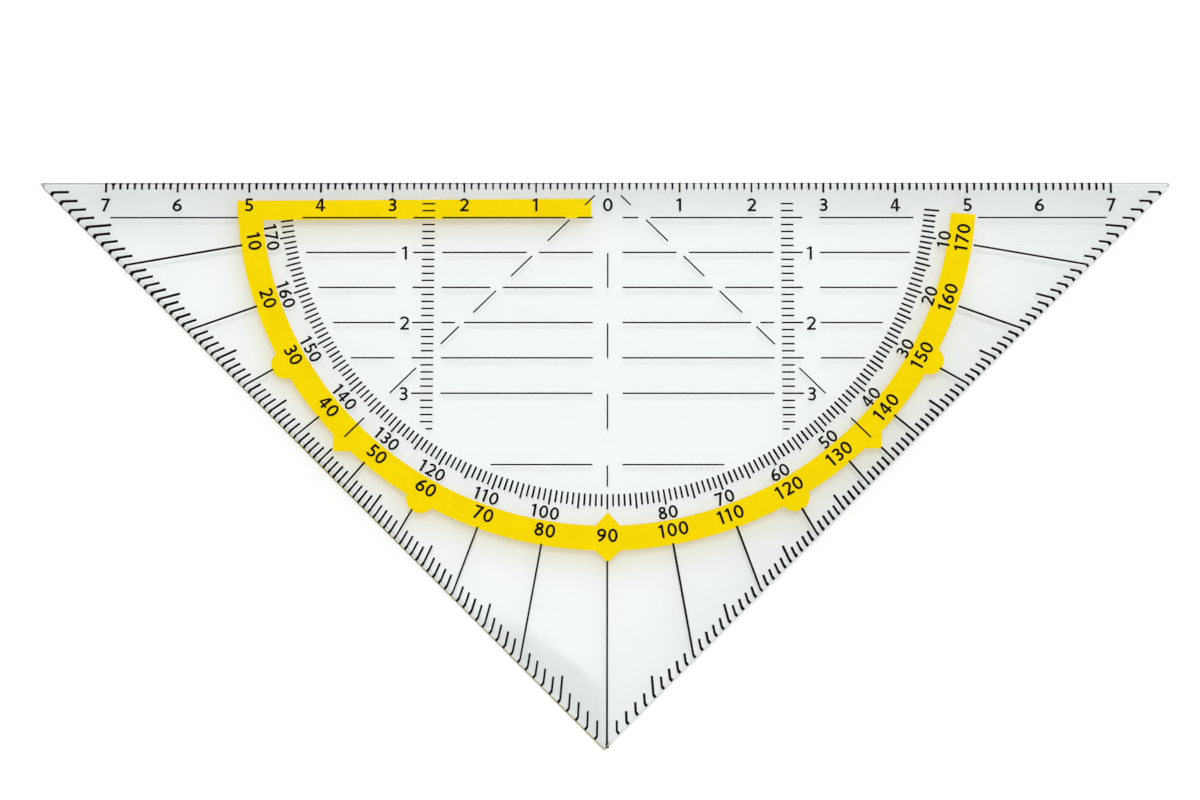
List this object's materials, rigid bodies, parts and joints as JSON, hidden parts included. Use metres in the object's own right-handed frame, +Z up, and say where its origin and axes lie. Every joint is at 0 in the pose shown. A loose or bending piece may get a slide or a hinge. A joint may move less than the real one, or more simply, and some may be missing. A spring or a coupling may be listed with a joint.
{
  "type": "geometry set square",
  "caption": "Flat clear plastic 45-45-90 set square with a zero-centred ruler on its long edge, a half-round protractor with a yellow scale band, parallel lines and depth scales in black.",
  "frame": {"origin": "the zero mark of the print, on the underside: 0.35 mm right of the middle of the long ruling edge and 0.15 mm inside it", "axes": "+X along the ruling edge towards the right-hand scale, +Y out of the ruling edge so that the right-angled corner lies towards -Y, +Z up out of the printed face"},
  "size_m": [0.1575, 0.0792, 0.0019],
  "materials": {
    "clear_plastic": "clear, moulded, polished",
    "yellow_ink": "opaque printed ink film, satin",
    "black_ink": "opaque printed ink film, matt"
  },
  "bodies": {
    "root": {"clear_plate": "clear_plastic", "yellow_scale_band": "yellow_ink", "ruler_millimetre_ticks": "black_ink", "ruler_centimetre_ticks": "black_ink", "ruler_numerals": "black_ink", "degree_ring_short_ticks": "black_ink", "degree_ring_long_ticks": "black_ink", "degree_ring_numerals": "black_ink", "band_numerals": "black_ink", "half_right_angle_marks": "black_ink", "angle_rays": "black_ink", "leg_short_ticks": "black_ink", "leg_long_ticks": "black_ink", "parallel_lines": "black_ink", "diagonal_lines": "black_ink", "centre_line": "black_ink", "depth_scale_left": "black_ink", "depth_scale_right": "black_ink", "depth_numerals": "black_ink"}
  },
  "joints": []
}
